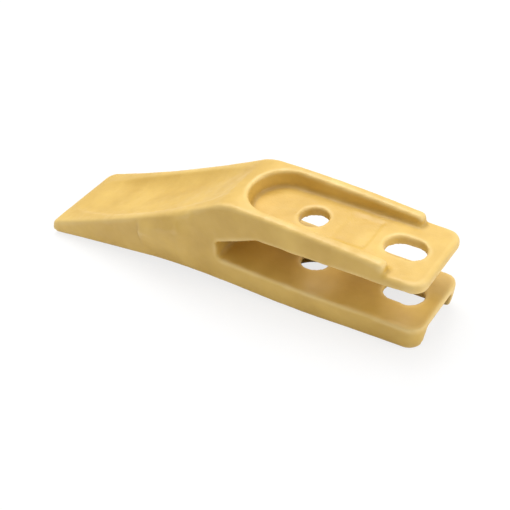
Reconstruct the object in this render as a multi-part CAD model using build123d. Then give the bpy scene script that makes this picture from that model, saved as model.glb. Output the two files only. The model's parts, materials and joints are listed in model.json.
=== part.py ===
"""Two-strap bucket tooth, cast in one piece.

All sizes are in millimetres.  The casting is drawn on its jaw: X runs from the
cutting edge back to the ends of the straps, Z is up, the middle of the jaw is
Z = 0 and the front bolt hole stands on X = 0.  The finished casting is then laid
on the ground as it rests, on its cutting edge and on the heel of its lower strap.
"""
from build123d import *
from math import atan, cos, degrees, radians, sin, tan
import os

os.makedirs("parts", exist_ok=True)

# jaw that grips the lip of the bucket
jaw_gap = 30.5
jaw_depth = 60.0            # front hole to the end wall
jaw_wall = 14.0             # height of the end wall
jaw_upper_ramp = 34.5       # length of the sloping upper face at the end wall
jaw_lower_ramp = 48.0
jaw_step = 2.4              # foot of the end wall above the lower face
jaw_corner_r = 3.0

# bolt holes through both straps
hole_d = 21.0
slot_w = 21.0
slot_l = 29.0
hole_to_slot = 68.0         # front hole to the middle of the slot

# straps
strap_end = 94.5            # front hole to the rear ends
top_plate = 7.4             # thickness round the holes
bottom_plate = 5.0
end_corner_r = 10.0
heel_lean = 3.2             # the lower strap's end curves forward by this towards the ground

# raised rim round the top pocket
rim_front_z = 35.4          # heights above the middle of the jaw
rim_mid_z = 33.7
rim_rear_z = 29.7
rib_end = 68.0              # front hole to the rear end of the ribs
rib_end_r = 4.0

# top pocket, with a rounded front
pocket_half = 23.4          # half width of its floor
pocket_centre = 23.0        # centre of the rounded front, ahead of the front hole
pocket_draft = 6.0          # lean of its walls, degrees

# sunken panel on the pocket floor, between the holes
panel_l = 24.0
panel_w = 32.0
panel_x = 33.0
panel_y = 1.2               # it sits a little off the middle
panel_depth = 0.8

# channel under the lower strap, which keeps the bolt heads from turning
channel_half = 19.0
channel_centre = 4.0        # centre of its rounded front, ahead of the front hole
channel_draft = 9.0
channel_corner_r = 4.0

# blade
tip_x = 218.4               # front hole to the cutting edge
tip_z = 37.0                # drop of its upper face at the cutting edge
tip_t = 11.5                # thickness of the cutting edge
tip_far_r = 9.0             # worn corner of the cutting edge, seen from above
crest_x = 57.0              # front hole to the crest
crest_z = 33.0
crest_l = 10.0              # crest to the start of the rim
crest_r = 30.0
blade_sag = 3.0             # hollow of the upper face between tip and crest

# underside
heel_z = 35.6               # depth of the rear end below the middle of the jaw
rest_from = 18.0            # the lower strap lies on the ground behind this
arch_x = 78.0               # top of the arch ahead of the strap
arch_z = 35.3
blade_flat = 80.0           # straight part of the blade's underside
blade_under = 6.8           # its slope, degrees

# scoop in the upper face of the blade
scoop_start = 5.5           # cutting edge to the start of the scoop
scoop_start_z = 35.0
scoop_mid_x = 135.0
scoop_mid_z = 11.5
scoop_flat = 13.0           # half width of the flat middle
scoop_side_r = 22.0

# stub of the pouring gate on one side of the blade
gate_front = 131.0          # distances ahead of the front hole
gate_rear = 80.0
gate_crease_z = 3.5         # drop of its upper crease at the front end
gate_rise = 0.43            # slope of the crease and of the lip
gate_lip_drop = 11.5
gate_out = 4.5              # how far the lip stands out
gate_run_in = 4.0           # length of the sloping front end
gate_run_out = 12.0
gate_sink = 0.5             # how far its ends and its foot lie inside the side

# sides: half widths of the casting along its length
tip_half = 37.4
neck_half = 35.4
neck_x = 115.0
jaw_half = 34.6
rear_half = 32.0
side_bulge_r = 210.0

# softened edges of the casting
top_edge_r = 2.8
bottom_edge_r = 4.0
jaw_edge_r = 1.5
rim_edge_r = 2.0
scoop_edge_r = 2.0

reach = 60.0                # how far cutters run past the casting

half_gap = jaw_gap / 2
top_face = half_gap + top_plate
channel_roof = half_gap + bottom_plate
tip_under = tip_z + tip_t
under_lean = radians(blade_under)
nose_under = tip_under - bottom_edge_r * (tan(under_lean) + 1 / cos(under_lean) - 1)
rest_slope = (nose_under - heel_z) / (tip_x - bottom_edge_r + strap_end)
heel_curve_r = ((heel_z - half_gap) ** 2 + heel_lean**2) / (2 * heel_lean)


def edges_where(shape, test):
    """Edges of a shape whose middle point passes a test."""
    return [edge for edge in shape.edges() if test(edge.center())]


def near_vertex(sketch, x, z):
    """Corner of a side-view sketch that lies closest to a point."""
    return min(sketch.vertices(), key=lambda v: (v.X - x) ** 2 + (v.Y - z) ** 2)


def side_section(x, half, mid_z):
    """Cross-section of the space between the sides, which bulge a little."""
    fall = reach**2 / (2 * side_bulge_r)
    high = mid_z + reach
    low = mid_z - reach
    with BuildSketch(Plane.YZ.offset(x)) as section:
        with BuildLine():
            Line((fall - half, high), (half - fall, high))
            ThreePointArc((half - fall, high), (half, mid_z), (half - fall, low))
            Line((half - fall, low), (fall - half, low))
            ThreePointArc((fall - half, low), (-half, mid_z), (fall - half, high))
        make_face()
    return section.sketch


def rear_limit():
    """Space ahead of the straps' ends; the lower end curves forward towards the ground."""
    front = -tip_x - reach
    low = -2 * reach
    with BuildSketch(Plane.XZ) as view:
        with BuildLine():
            Line((front, low), (front, 2 * reach))
            Line((front, 2 * reach), (strap_end, 2 * reach))
            Line((strap_end, 2 * reach), (strap_end, -half_gap))
            curve = CenterArc((strap_end - heel_curve_r, -half_gap), heel_curve_r, 0, -45)
            Line(curve @ 1, ((curve @ 1).X, low))
            Line(((curve @ 1).X, low), (front, low))
        make_face()
    return extrude(view.sketch, amount=2 * reach, both=True)


def side_space():
    """Space between the two sides, with three of its corners rounded in plan."""
    sections = [
        side_section(-tip_x, tip_half, -(tip_z + tip_under) / 2),
        side_section(-neck_x, neck_half, -(tip_z + tip_under) / 2 * (neck_x - crest_x) / (tip_x - crest_x)),
        side_section(-jaw_depth / 2, jaw_half, 0),
        side_section(strap_end + end_corner_r, rear_half, 0),
    ]
    space = loft(sections) & rear_limit()
    corners = edges_where(space, lambda c: c.X > strap_end / 2 and abs(c.Y) > 1 and abs(c.Z) < reach - 1)
    space = fillet(corners, end_corner_r)
    return fillet(edges_where(space, lambda c: c.X < 0.01 - tip_x and c.Y > tip_half / 2), tip_far_r)


def side_view():
    """Outline of the casting from the side, with the jaw still full."""
    tip_top = (-tip_x, -tip_z)
    crest = (-crest_x, crest_z)
    rim_front = (crest_l - crest_x, rim_front_z)
    rim_rear = (rib_end, rim_rear_z)
    rim_mid = ((rim_front[0] + rim_rear[0]) / 2, rim_mid_z)
    behind = strap_end + reach
    heel = (behind, reach * rest_slope - heel_z)
    rest_start = (rest_from, -heel_z - (strap_end - rest_from) * rest_slope)
    lean = (cos(under_lean), sin(under_lean))
    flat_end = (blade_flat * lean[0] - tip_x, blade_flat * lean[1] - tip_under)
    with BuildSketch(Plane.XZ) as view:
        with BuildLine():
            SagittaArc(tip_top, crest, -blade_sag)
            Line(crest, rim_front)
            ThreePointArc(rim_front, rim_mid, rim_rear)
            Line(rim_rear, (rib_end, top_face))
            Line((rib_end, top_face), (behind, top_face))
            Line((behind, top_face), heel)
            Line(heel, rest_start)
            Spline(rest_start, (-arch_x, -arch_z), flat_end, tangents=[(-1, -rest_slope), (-lean[0], -lean[1])])
            Line(flat_end, (-tip_x, -tip_under))
            Line((-tip_x, -tip_under), tip_top)
        make_face()
        fillet(near_vertex(view, *crest), crest_r)
        fillet(near_vertex(view, *rim_front), crest_r)
        fillet(near_vertex(view, *rim_rear), rib_end_r)
    return extrude(view.sketch, amount=reach, both=True)


def jaw_space():
    """Space between the straps; it narrows towards its end wall."""
    foot = jaw_step - half_gap
    with BuildSketch(Plane.XZ) as view:
        with BuildLine():
            Polyline(
                (jaw_upper_ramp - jaw_depth, half_gap),
                (strap_end + reach, half_gap),
                (strap_end + reach, -half_gap),
                (jaw_lower_ramp - jaw_depth, -half_gap),
                (-jaw_depth, foot),
                (-jaw_depth, foot + jaw_wall),
                close=True,
            )
        make_face()
        fillet([near_vertex(view, -jaw_depth, foot), near_vertex(view, -jaw_depth, foot + jaw_wall)], jaw_corner_r)
    return extrude(view.sketch, amount=reach, both=True)


def scoop_space():
    """Spoon shape swept along a hollow line from the cutting edge to the crest."""
    start = (scoop_start - tip_x, -scoop_start_z)
    middle = (-scoop_mid_x, -scoop_mid_z)
    end = (-crest_x + 1.0, crest_z + 1.0)
    with BuildLine(Plane.XZ) as path:
        ThreePointArc(start, middle, end)
    side = scoop_flat + scoop_side_r
    with BuildSketch(Plane(origin=path.line @ 0, x_dir=(0, 1, 0), z_dir=path.line % 0)) as section:
        with BuildLine():
            Line((-scoop_flat, 0), (scoop_flat, 0))
            RadiusArc((scoop_flat, 0), (side, scoop_side_r), -scoop_side_r)
            Line((side, scoop_side_r), (-side, scoop_side_r))
            RadiusArc((-side, scoop_side_r), (-scoop_flat, 0), -scoop_side_r)
        make_face()
    return sweep(section.sketch, path.line)


def recess(half, centre, rear, draft):
    """Straight recess with a half-round front, drawn with its floor on Z = 0 and open upwards."""
    wide = half + reach * tan(radians(draft))
    with BuildSketch(Plane.YZ.offset(-centre)) as section:
        with BuildLine():
            Polyline((-half, 0), (half, 0), (wide, reach), (-wide, reach), close=True)
        make_face()
    front = Pos(-centre, 0, reach / 2) * Cone(half, wide, reach)
    return extrude(section.sketch, amount=rear + centre) + front


def pocket_space():
    """Top pocket, open upwards, its walls leaning outwards."""
    return Pos(0, 0, top_face) * recess(pocket_half, pocket_centre, rib_end + end_corner_r, pocket_draft)


def channel_space():
    """Channel under the lower strap, open downwards and at the rear."""
    space = recess(channel_half, channel_centre, strap_end + reach, channel_draft)
    space = fillet(edges_where(space, lambda c: c.Z < 0.01 and c.X < strap_end + reach - 1), channel_corner_r)
    return Pos(0, 0, -channel_roof) * mirror(space, Plane.XY)


def bolt_holes():
    """Round front hole and rear slot, each through both straps."""
    hole = Cylinder(hole_d / 2, 2 * reach)
    slot = extrude(Pos(hole_to_slot, 0, 0) * SlotOverall(slot_l, slot_w), amount=reach, both=True)
    return [hole, slot]


def panel_space():
    """Shallow bare panel sunk in the pocket floor."""
    return Pos(panel_x, panel_y, top_face) * Box(panel_l, panel_w, 2 * panel_depth)


def gate_stub():
    """Wedge left where the pouring gate was cut off and ground back."""
    side = jaw_half - top_edge_r
    face = -(neck_half + jaw_half) / 2
    foot = bottom_edge_r - arch_z
    ends = [
        (-gate_front, 0),
        (-gate_front + gate_run_in, gate_out),
        (-gate_rear - gate_run_out, gate_out),
        (-gate_rear, 0),
    ]
    sections = []
    for x, out in ends:
        crease = (x + gate_front) * gate_rise - gate_crease_z
        lip = crease - gate_lip_drop
        with BuildSketch(Plane.YZ.offset(x)) as section:
            with BuildLine():
                Polyline(
                    (-side, crease),
                    (face + gate_sink, crease),
                    (face + gate_sink - out, lip),
                    (face + gate_sink, foot),
                    (-side, foot),
                    close=True,
                )
            make_face()
        sections.append(section.sketch)
    return loft(sections, ruled=True)


def mid_height(x):
    """Height of the middle of the casting at a place along its length."""
    share = max(0.0, (-x - jaw_depth) / (tip_x - jaw_depth))
    return -share * (tip_z + tip_under) / 2


def clear_of_jaw(x):
    """How far from the middle an outer edge lies at the least."""
    return half_gap + 2 * jaw_edge_r if x > -jaw_depth - 2 * jaw_edge_r else tip_t / 4


def on_outline(c):
    """Whether an edge with this middle point runs along the sides or the ends."""
    at_end = c.X > strap_end - end_corner_r + 1 or c.X < 0.1 - tip_x
    return abs(c.Y) > rear_half - end_corner_r / 2 or at_end


def rounded_blank():
    """Casting with its jaw open and its outer edges rounded."""
    body = side_view() & side_space()
    body = body - jaw_space()
    lips = edges_where(body, lambda c: abs(c.Z) < half_gap + 0.01 and c.X > -jaw_depth - 0.01 and on_outline(c))
    body = fillet(lips, jaw_edge_r)
    upper = edges_where(body, lambda c: c.Z > mid_height(c.X) + clear_of_jaw(c.X) and on_outline(c))
    body = fillet(upper, top_edge_r)
    lower = edges_where(body, lambda c: c.Z < mid_height(c.X) - clear_of_jaw(c.X) and on_outline(c))
    return fillet(lower, bottom_edge_r)


def with_scoop(body):
    """Casting with the scoop cut in its blade and the scoop's edge rounded."""
    body = body - scoop_space()
    side = scoop_flat + scoop_side_r
    sides = edges_where(
        body,
        lambda c: abs(c.X + scoop_mid_x) < 10 and side - 9 < abs(c.Y) < side - 2 and abs(c.Z + scoop_mid_z) < scoop_side_r,
    )
    rear = edges_where(
        body,
        lambda c: abs(c.X + crest_x + 3) < 3.5 and abs(c.Y) < scoop_flat + 7 and c.Z > crest_z - 3,
    )
    return fillet(sides + rear, scoop_edge_r)


def with_pocket(body):
    """Casting with the top pocket cut and the inner edges of the rim rounded."""
    body = body - pocket_space()
    front = -pocket_centre - pocket_half - 5
    inner = edges_where(
        body,
        lambda c: c.Z > top_face + 1 and front < c.X < rib_end + 0.1 and abs(c.Y) < pocket_half + rim_edge_r + 1.5,
    )
    return fillet(inner, rim_edge_r)


body = rounded_blank()
body = with_scoop(body)
body = with_pocket(body)
body = body - channel_space()
for hole in bolt_holes():
    body = body - hole
body = body - panel_space()
body = body + gate_stub()

# laid on the ground as it rests, its origin under the middle of its box
body = Rot(0, degrees(atan(rest_slope)), 0) * body
box = body.bounding_box()
body = Pos(-box.center().X, -box.center().Y, -box.min.Z) * body
export_step(body, "parts/bucket_tooth.step")
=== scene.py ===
"""Looks of the cast bucket tooth: painted casting with a sand-cast skin, and the studio."""
import json
import logging
import math
from dataclasses import dataclass, field
from enum import Enum

import bmesh
import bpy
import numpy as np
from mathutils import Matrix, Vector


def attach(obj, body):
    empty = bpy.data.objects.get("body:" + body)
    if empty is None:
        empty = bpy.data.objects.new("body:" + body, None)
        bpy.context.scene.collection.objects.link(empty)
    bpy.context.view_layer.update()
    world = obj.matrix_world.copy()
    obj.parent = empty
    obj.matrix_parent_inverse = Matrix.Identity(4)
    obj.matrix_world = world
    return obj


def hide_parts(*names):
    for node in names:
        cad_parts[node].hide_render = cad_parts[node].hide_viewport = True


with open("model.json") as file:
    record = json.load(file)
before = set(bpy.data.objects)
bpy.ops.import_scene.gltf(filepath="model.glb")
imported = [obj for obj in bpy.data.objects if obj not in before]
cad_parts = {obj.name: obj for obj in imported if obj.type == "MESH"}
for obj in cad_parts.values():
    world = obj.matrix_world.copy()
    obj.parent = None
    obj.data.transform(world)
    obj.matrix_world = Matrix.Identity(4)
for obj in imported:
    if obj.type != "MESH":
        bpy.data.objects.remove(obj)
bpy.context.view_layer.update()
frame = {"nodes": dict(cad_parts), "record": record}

MM = 0.001
NODE = "bucket_tooth"
LOG = logging.getLogger("bucket_tooth")


class Skin(Enum):
    """Names of the point attributes that the paint reads; two of them carry painted highlight on convex edges and
    painted shade in hollows.
    """

    # painted highlight: a pale tone laid on convex edges where light catches the rounding
    EDGE = "painted_edge_highlight"
    # painted shade: dark brown laid in concave creases and hollows where less light reaches
    HOLLOW = "painted_crease_shade"
    CHIP = "chipped"
    GROUND = "ground_patch"


@dataclass(frozen=True)
class JawFrame:
    """The casting's own directions: along, across and up, measured in millimetres on its jaw."""

    origin: Vector
    along: Vector
    across: Vector
    up: Vector

    @staticmethod
    def from_record(record: dict) -> "JawFrame":
        """Reads the directions from the record's mounts.

        Args:
            record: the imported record.

        Returns:
            The frame with its origin on the front hole, half way up the jaw.
        """
        mounts = {mount["name"]: mount for mount in record["mounts"]}
        upper = mounts["jaw_upper_face"]
        lower = mounts["jaw_lower_face"]
        hole = Vector(mounts["front_bolt_hole"]["pos_m"])
        up = Vector(lower["axis"]).normalized()
        along = Vector(mounts["jaw_end_wall"]["axis"]).normalized()
        middle = (Vector(upper["pos_m"]) + Vector(lower["pos_m"])) / 2
        origin = hole + up * (middle - hole).dot(up)
        return JawFrame(origin, along, up.cross(along).normalized(), up)

    def local(self, points: np.ndarray) -> np.ndarray:
        """Turns points of the shared frame, in metres, into jaw millimetres."""
        axes = np.array([self.along, self.across, self.up])
        return (points - np.array(self.origin)) @ axes.T / MM


@dataclass(frozen=True)
class MustardPaint:
    """Satin mustard paint sprayed over a sand-cast skin, with painted highlight on convex edges and painted shade in
    hollows.
    """

    name: str = "mustard_cast_paint"
    light: tuple[float, float, float, float] = (0.66, 0.435, 0.098, 1.0)
    deep: tuple[float, float, float, float] = (0.55, 0.34, 0.062, 1.0)
    # painted highlight colour for convex edges
    edge: tuple[float, float, float, float] = (0.80, 0.60, 0.26, 1.0)
    # painted shade colour for creases and hollows
    crease_shade: tuple[float, float, float, float] = (0.33, 0.185, 0.035, 1.0)
    bare: tuple[float, float, float, float] = (0.060, 0.036, 0.022, 1.0)
    ground: tuple[float, float, float, float] = (0.62, 0.50, 0.28, 1.0)
    roughness: float = 0.46
    grain_per_m: float = 900.0
    grain_depth_m: float = 0.00022
    orange_peel_per_m: float = 260.0
    orange_peel_depth_m: float = 0.0003

    def material(self) -> bpy.types.Material:
        """Builds the paint.

        Returns:
            A procedural material on Object coordinates and the casting's skin attributes.
        """
        material = bpy.data.materials.new(self.name)
        material.use_nodes = True
        nodes = material.node_tree.nodes
        links = material.node_tree.links
        shader = nodes["Principled BSDF"]
        shader.inputs["Specular IOR Level"].default_value = 0.55

        place = nodes.new("ShaderNodeTexCoord")

        def noise(scale: float, detail: float, rough: float = 0.55) -> bpy.types.Node:
            """Adds a noise texture on the object's own coordinates."""
            node = nodes.new("ShaderNodeTexNoise")
            node.inputs["Scale"].default_value = scale
            node.inputs["Detail"].default_value = detail
            node.inputs["Roughness"].default_value = rough
            links.new(place.outputs["Object"], node.inputs["Vector"])
            return node

        def mixed(factor: bpy.types.NodeSocket, base: bpy.types.NodeSocket | tuple, top: tuple) -> bpy.types.NodeSocket:
            """Mixes a colour over another by a factor and gives the result."""
            node = nodes.new("ShaderNodeMix")
            node.data_type = "RGBA"
            links.new(factor, node.inputs["Factor"])
            if isinstance(base, tuple):
                node.inputs["A"].default_value = base
            else:
                links.new(base, node.inputs[6])
            node.inputs[7].default_value = top
            return node.outputs[2]

        def ranged(value: bpy.types.NodeSocket, low: float, high: float, to_low: float, to_high: float) -> bpy.types.NodeSocket:
            """Maps a range of a value on another, clamped."""
            node = nodes.new("ShaderNodeMapRange")
            links.new(value, node.inputs["Value"])
            for name, number in zip(("From Min", "From Max", "To Min", "To Max"), (low, high, to_low, to_high)):
                node.inputs[name].default_value = number
            return node.outputs["Result"]

        def skin(which: Skin) -> bpy.types.NodeSocket:
            """Gives one of the casting's point attributes."""
            node = nodes.new("ShaderNodeAttribute")
            node.attribute_name = which.value
            return node.outputs["Fac"]

        cloud = noise(28.0, 3.0)
        node = nodes.new("ShaderNodeMix")
        node.data_type = "RGBA"
        links.new(ranged(cloud.outputs["Fac"], 0.35, 0.65, 0.0, 1.0), node.inputs["Factor"])
        node.inputs[6].default_value = self.deep
        node.inputs[7].default_value = self.light
        colour = node.outputs[2]
        colour = mixed(skin(Skin.GROUND), colour, self.ground)
        # painted shade: concave creases and hollows are darkened toward the shade colour
        colour = mixed(skin(Skin.HOLLOW), colour, self.crease_shade)
        # painted highlight: convex edges are lightened toward the pale edge colour
        colour = mixed(skin(Skin.EDGE), colour, self.edge)
        colour = mixed(skin(Skin.CHIP), colour, self.bare)
        links.new(colour, shader.inputs["Base Color"])

        blotch = noise(120.0, 4.0)
        links.new(ranged(blotch.outputs["Fac"], 0.3, 0.7, self.roughness - 0.07, self.roughness + 0.08), shader.inputs["Roughness"])

        grain = noise(self.grain_per_m, 3.0, 0.65)
        peel = noise(self.orange_peel_per_m, 2.0)
        coarse = nodes.new("ShaderNodeBump")
        coarse.inputs["Distance"].default_value = self.orange_peel_depth_m
        coarse.inputs["Strength"].default_value = 0.6
        links.new(peel.outputs["Fac"], coarse.inputs["Height"])
        fine = nodes.new("ShaderNodeBump")
        fine.inputs["Distance"].default_value = self.grain_depth_m
        fine.inputs["Strength"].default_value = 0.5
        links.new(grain.outputs["Fac"], fine.inputs["Height"])
        links.new(coarse.outputs["Normal"], fine.inputs["Normal"])
        links.new(fine.outputs["Normal"], shader.inputs["Normal"])
        return material


@dataclass
class Casting:
    """The tooth itself: the solid's shape with softened edges and a sand-cast skin."""

    jaw: JawFrame
    paint: MustardPaint
    voxel: float = 1.25 * MM
    smoothing_rounds: int = 6
    swell: float = 0.14 * MM
    swell_per_m: float = 90.0
    pimple: float = 0.05 * MM
    pimple_per_m: float = 420.0

    def build(self) -> bpy.types.Object:
        """Builds and dresses the casting.

        Returns:
            The finished object, riding on the root body.
        """
        piece = self._dense_copy()
        points, normals = self._shape(piece)
        self._paint_masks(piece, points, normals)
        piece.data.materials.clear()
        piece.data.materials.append(self.paint.material())
        for polygon in piece.data.polygons:
            polygon.use_smooth = True
        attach(piece, "root")
        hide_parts(NODE)
        return piece

    def _dense_copy(self) -> bpy.types.Object:
        """Copies the solid's mesh and gives it an even, dense skin."""
        mesh = frame["nodes"][NODE].data.copy()
        mesh.name = "casting_skin"
        shell = bmesh.new()
        shell.from_mesh(mesh)
        bmesh.ops.remove_doubles(shell, verts=shell.verts, dist=1e-6)
        shell.to_mesh(mesh)
        shell.free()
        piece = bpy.data.objects.new("casting", mesh)
        bpy.context.scene.collection.objects.link(piece)
        remesh = piece.modifiers.new("even_skin", "REMESH")
        remesh.mode = "VOXEL"
        remesh.voxel_size = self.voxel
        remesh.adaptivity = 0.0
        bpy.context.view_layer.update()
        dense = bpy.data.meshes.new_from_object(piece.evaluated_get(bpy.context.evaluated_depsgraph_get()))
        piece.modifiers.clear()
        piece.data = dense
        return piece

    def _shape(self, piece: bpy.types.Object) -> tuple[np.ndarray, np.ndarray]:
        """Softens the edges and roughens the skin.

        Args:
            piece: the dense copy.

        Returns:
            The points and their normals.
        """
        mesh = piece.data
        points = read_points(mesh)
        ring = Neighbours(mesh)
        for _ in range(self.smoothing_rounds):
            points = points + 0.5 * (ring.average(points) - points)
            points = points - 0.52 * (ring.average(points) - points)
        write_points(mesh, points)
        normals = read_normals(mesh)
        lift = self.swell * lattice_noise(points * self.swell_per_m, 3)
        lift += self.pimple * lattice_noise(points * self.pimple_per_m, 7)
        points = points + normals * lift[:, None]
        write_points(mesh, points)
        return points, normals

    def _paint_masks(self, piece: bpy.types.Object, points: np.ndarray, normals: np.ndarray) -> None:
        """Writes the masks that the paint reads: painted highlight on convex edges, painted shade in hollows, and empty
        chip and ground masks.

        Args:
            piece: the casting.
            points: its points.
            normals: their normals.
        """
        ring = Neighbours(piece.data)
        bend = np.einsum("ij,ij->i", ring.average(points) - points, normals)
        for _ in range(4):
            bend = ring.average(bend)
        bend /= self.voxel
        masks = {
            # painted highlight on convex edges, taken from the curvature
            Skin.EDGE: np.clip(-bend * 14 - 0.25, 0, 1) * 0.6,
            # painted shade in concave creases and hollows, taken from the curvature
            Skin.HOLLOW: np.clip(bend * 14 - 0.2, 0, 1) * 0.7,
            Skin.CHIP: np.zeros(len(points)),
            Skin.GROUND: np.zeros(len(points)),
        }
        for name, values in masks.items():
            attribute = piece.data.attributes.new(name.value, "FLOAT", "POINT")
            attribute.data.foreach_set("value", values.astype(np.float32))


class Neighbours:
    """Averages of values over the points that share an edge."""

    def __init__(self, mesh: bpy.types.Mesh) -> None:
        """Reads the edges of a mesh."""
        edges = np.empty(len(mesh.edges) * 2, np.int32)
        mesh.edges.foreach_get("vertices", edges)
        self.a, self.b = edges.reshape(-1, 2).T
        self.count = len(mesh.vertices)
        self.degree = np.bincount(self.a, minlength=self.count) + np.bincount(self.b, minlength=self.count)

    def average(self, values: np.ndarray) -> np.ndarray:
        """Averages a column or several columns over each point's neighbours.

        Args:
            values: one row for each point.

        Returns:
            The averages, in the same form.
        """
        columns = values.reshape(self.count, -1)
        sums = [
            np.bincount(self.a, column[self.b], self.count) + np.bincount(self.b, column[self.a], self.count)
            for column in columns.T
        ]
        return (np.array(sums) / self.degree).T.reshape(values.shape)


def read_points(mesh: bpy.types.Mesh) -> np.ndarray:
    """Gives a mesh's points as rows."""
    points = np.empty(len(mesh.vertices) * 3)
    mesh.vertices.foreach_get("co", points)
    return points.reshape(-1, 3)


def write_points(mesh: bpy.types.Mesh, points: np.ndarray) -> None:
    """Puts rows of points back in a mesh."""
    mesh.vertices.foreach_set("co", points.ravel())
    mesh.update()


def read_normals(mesh: bpy.types.Mesh) -> np.ndarray:
    """Gives the normals at a mesh's points as rows."""
    normals = np.empty(len(mesh.vertices) * 3)
    mesh.vertex_normals.foreach_get("vector", normals)
    return normals.reshape(-1, 3)


def lattice_noise(points: np.ndarray, seed: int) -> np.ndarray:
    """Smooth noise between random values on a grid of unit cells.

    Args:
        points: places, in cells.
        seed: picks the random values.

    Returns:
        A value from -1 to 1 for each place.
    """
    cell = np.floor(points).astype(np.int64)
    share = points - cell
    share = share * share * (3 - 2 * share)
    total = np.zeros(len(points))
    for corner in range(8):
        step = np.array([corner & 1, corner >> 1 & 1, corner >> 2 & 1])
        weight = np.prod(np.where(step == 1, share, 1 - share), axis=1)
        key = (cell + step) @ np.array([73856093, 19349663, 83492791]) + seed * 2654435761
        key = (key ^ key >> 13) * 1274126177 & 0xFFFFFFFF
        total += weight * ((key ^ key >> 16) % 65536 / 32767.5 - 1)
    return total


@dataclass
class Studio:
    """Pale floor, soft lamps and the camera."""

    camera_place: tuple[float, float, float] = (0.35849, -0.45256, 0.46241)
    camera_aim: tuple[float, float, float] = (0.01591, -0.00762, 0.0181)
    camera_roll: float = math.radians(-7.045)
    lens_mm: float = 70.58
    floor_half: float = 3.0
    sky_strength: float = 0.62
    lamps: list[tuple[str, tuple[float, float, float], float, float]] = field(
        default_factory=lambda: [
            ("lamp_above", (-0.25, 0.35, 1.10), 0.9, 13.0),
            ("lamp_right", (1.0, 0.15, 0.45), 0.7, 4.0),
        ]
    )

    def build(self) -> None:
        """Sets up the whole studio."""
        self._floor()
        self._sky()
        for name, place, size, watts in self.lamps:
            self._lamp(name, place, size, watts)
        self._camera()
        bpy.context.scene.view_settings.view_transform = "Standard"

    def _floor(self) -> None:
        """Lays a plain pale floor that looks white and keeps the shadow."""
        shell = bmesh.new()
        bmesh.ops.create_grid(shell, x_segments=1, y_segments=1, size=self.floor_half)
        mesh = bpy.data.meshes.new("studio_floor")
        shell.to_mesh(mesh)
        shell.free()
        floor = bpy.data.objects.new("studio_floor", mesh)
        bpy.context.scene.collection.objects.link(floor)
        material = bpy.data.materials.new("pale_floor")
        material.use_nodes = True
        nodes = material.node_tree.nodes
        links = material.node_tree.links
        nodes.clear()
        paper = nodes.new("ShaderNodeBsdfDiffuse")
        paper.inputs["Color"].default_value = (0.86, 0.86, 0.86, 1.0)
        glow = nodes.new("ShaderNodeEmission")
        glow.inputs["Strength"].default_value = 1.0
        rays = nodes.new("ShaderNodeLightPath")
        seen = nodes.new("ShaderNodeMath")
        seen.operation = "MAXIMUM"
        links.new(rays.outputs["Is Camera Ray"], seen.inputs[0])
        links.new(rays.outputs["Is Transmission Ray"], seen.inputs[1])
        share = nodes.new("ShaderNodeMath")
        share.operation = "MULTIPLY"
        share.inputs[1].default_value = 0.78
        links.new(seen.outputs[0], share.inputs[0])
        mix = nodes.new("ShaderNodeMixShader")
        links.new(share.outputs[0], mix.inputs["Fac"])
        links.new(paper.outputs[0], mix.inputs[1])
        links.new(glow.outputs[0], mix.inputs[2])
        out = nodes.new("ShaderNodeOutputMaterial")
        links.new(mix.outputs[0], out.inputs["Surface"])
        mesh.materials.append(material)

    def _sky(self) -> None:
        """Gives even white light and a white background."""
        world = bpy.data.worlds.new("soft_sky")
        bpy.context.scene.world = world
        world.use_nodes = True
        nodes = world.node_tree.nodes
        links = world.node_tree.links
        back = nodes["Background"]
        back.inputs["Color"].default_value = (1.0, 1.0, 1.0, 1.0)
        rays = nodes.new("ShaderNodeLightPath")
        seen = nodes.new("ShaderNodeMath")
        seen.operation = "MAXIMUM"
        links.new(rays.outputs["Is Camera Ray"], seen.inputs[0])
        links.new(rays.outputs["Is Transmission Ray"], seen.inputs[1])
        strength = nodes.new("ShaderNodeMapRange")
        links.new(seen.outputs[0], strength.inputs["Value"])
        strength.inputs["To Min"].default_value = self.sky_strength
        strength.inputs["To Max"].default_value = 1.0
        links.new(strength.outputs["Result"], back.inputs["Strength"])

    def _lamp(self, name: str, place: tuple[float, float, float], size: float, watts: float) -> None:
        """Hangs one square area lamp that looks at the part.

        Args:
            name: the lamp's name.
            place: where it hangs, in metres.
            size: its side.
            watts: its power.
        """
        data = bpy.data.lights.new(name, "AREA")
        data.shape = "SQUARE"
        data.size = size
        data.energy = watts
        lamp = bpy.data.objects.new(name, data)
        lamp.location = place
        lamp.rotation_euler = (-Vector(place)).to_track_quat("-Z", "Y").to_euler()
        bpy.context.scene.collection.objects.link(lamp)

    def _camera(self) -> None:
        """Sets the camera at the photograph's viewing angle."""
        data = bpy.data.cameras.new("camera")
        data.lens = self.lens_mm
        data.sensor_width = 36.0
        data.clip_end = 20.0
        camera = bpy.data.objects.new("camera", data)
        bpy.context.scene.collection.objects.link(camera)
        ahead = (Vector(self.camera_aim) - Vector(self.camera_place)).normalized()
        level = ahead.cross(Vector((0, 0, 1))).normalized()
        right = level * math.cos(self.camera_roll) + level.cross(ahead) * math.sin(self.camera_roll)
        turned = Matrix((right, right.cross(ahead), -ahead)).transposed()
        camera.matrix_world = Matrix.Translation(self.camera_place) @ turned.to_4x4()
        bpy.context.scene.camera = camera


def main() -> None:
    """Builds the casting and the studio."""
    logging.basicConfig(level=logging.INFO, format="%(name)s: %(message)s")
    jaw = JawFrame.from_record(frame["record"])
    casting = Casting(jaw, MustardPaint()).build()
    LOG.info("%s has %d faces", casting.name, len(casting.data.polygons))
    Studio().build()


if __name__ == "__main__":
    main()
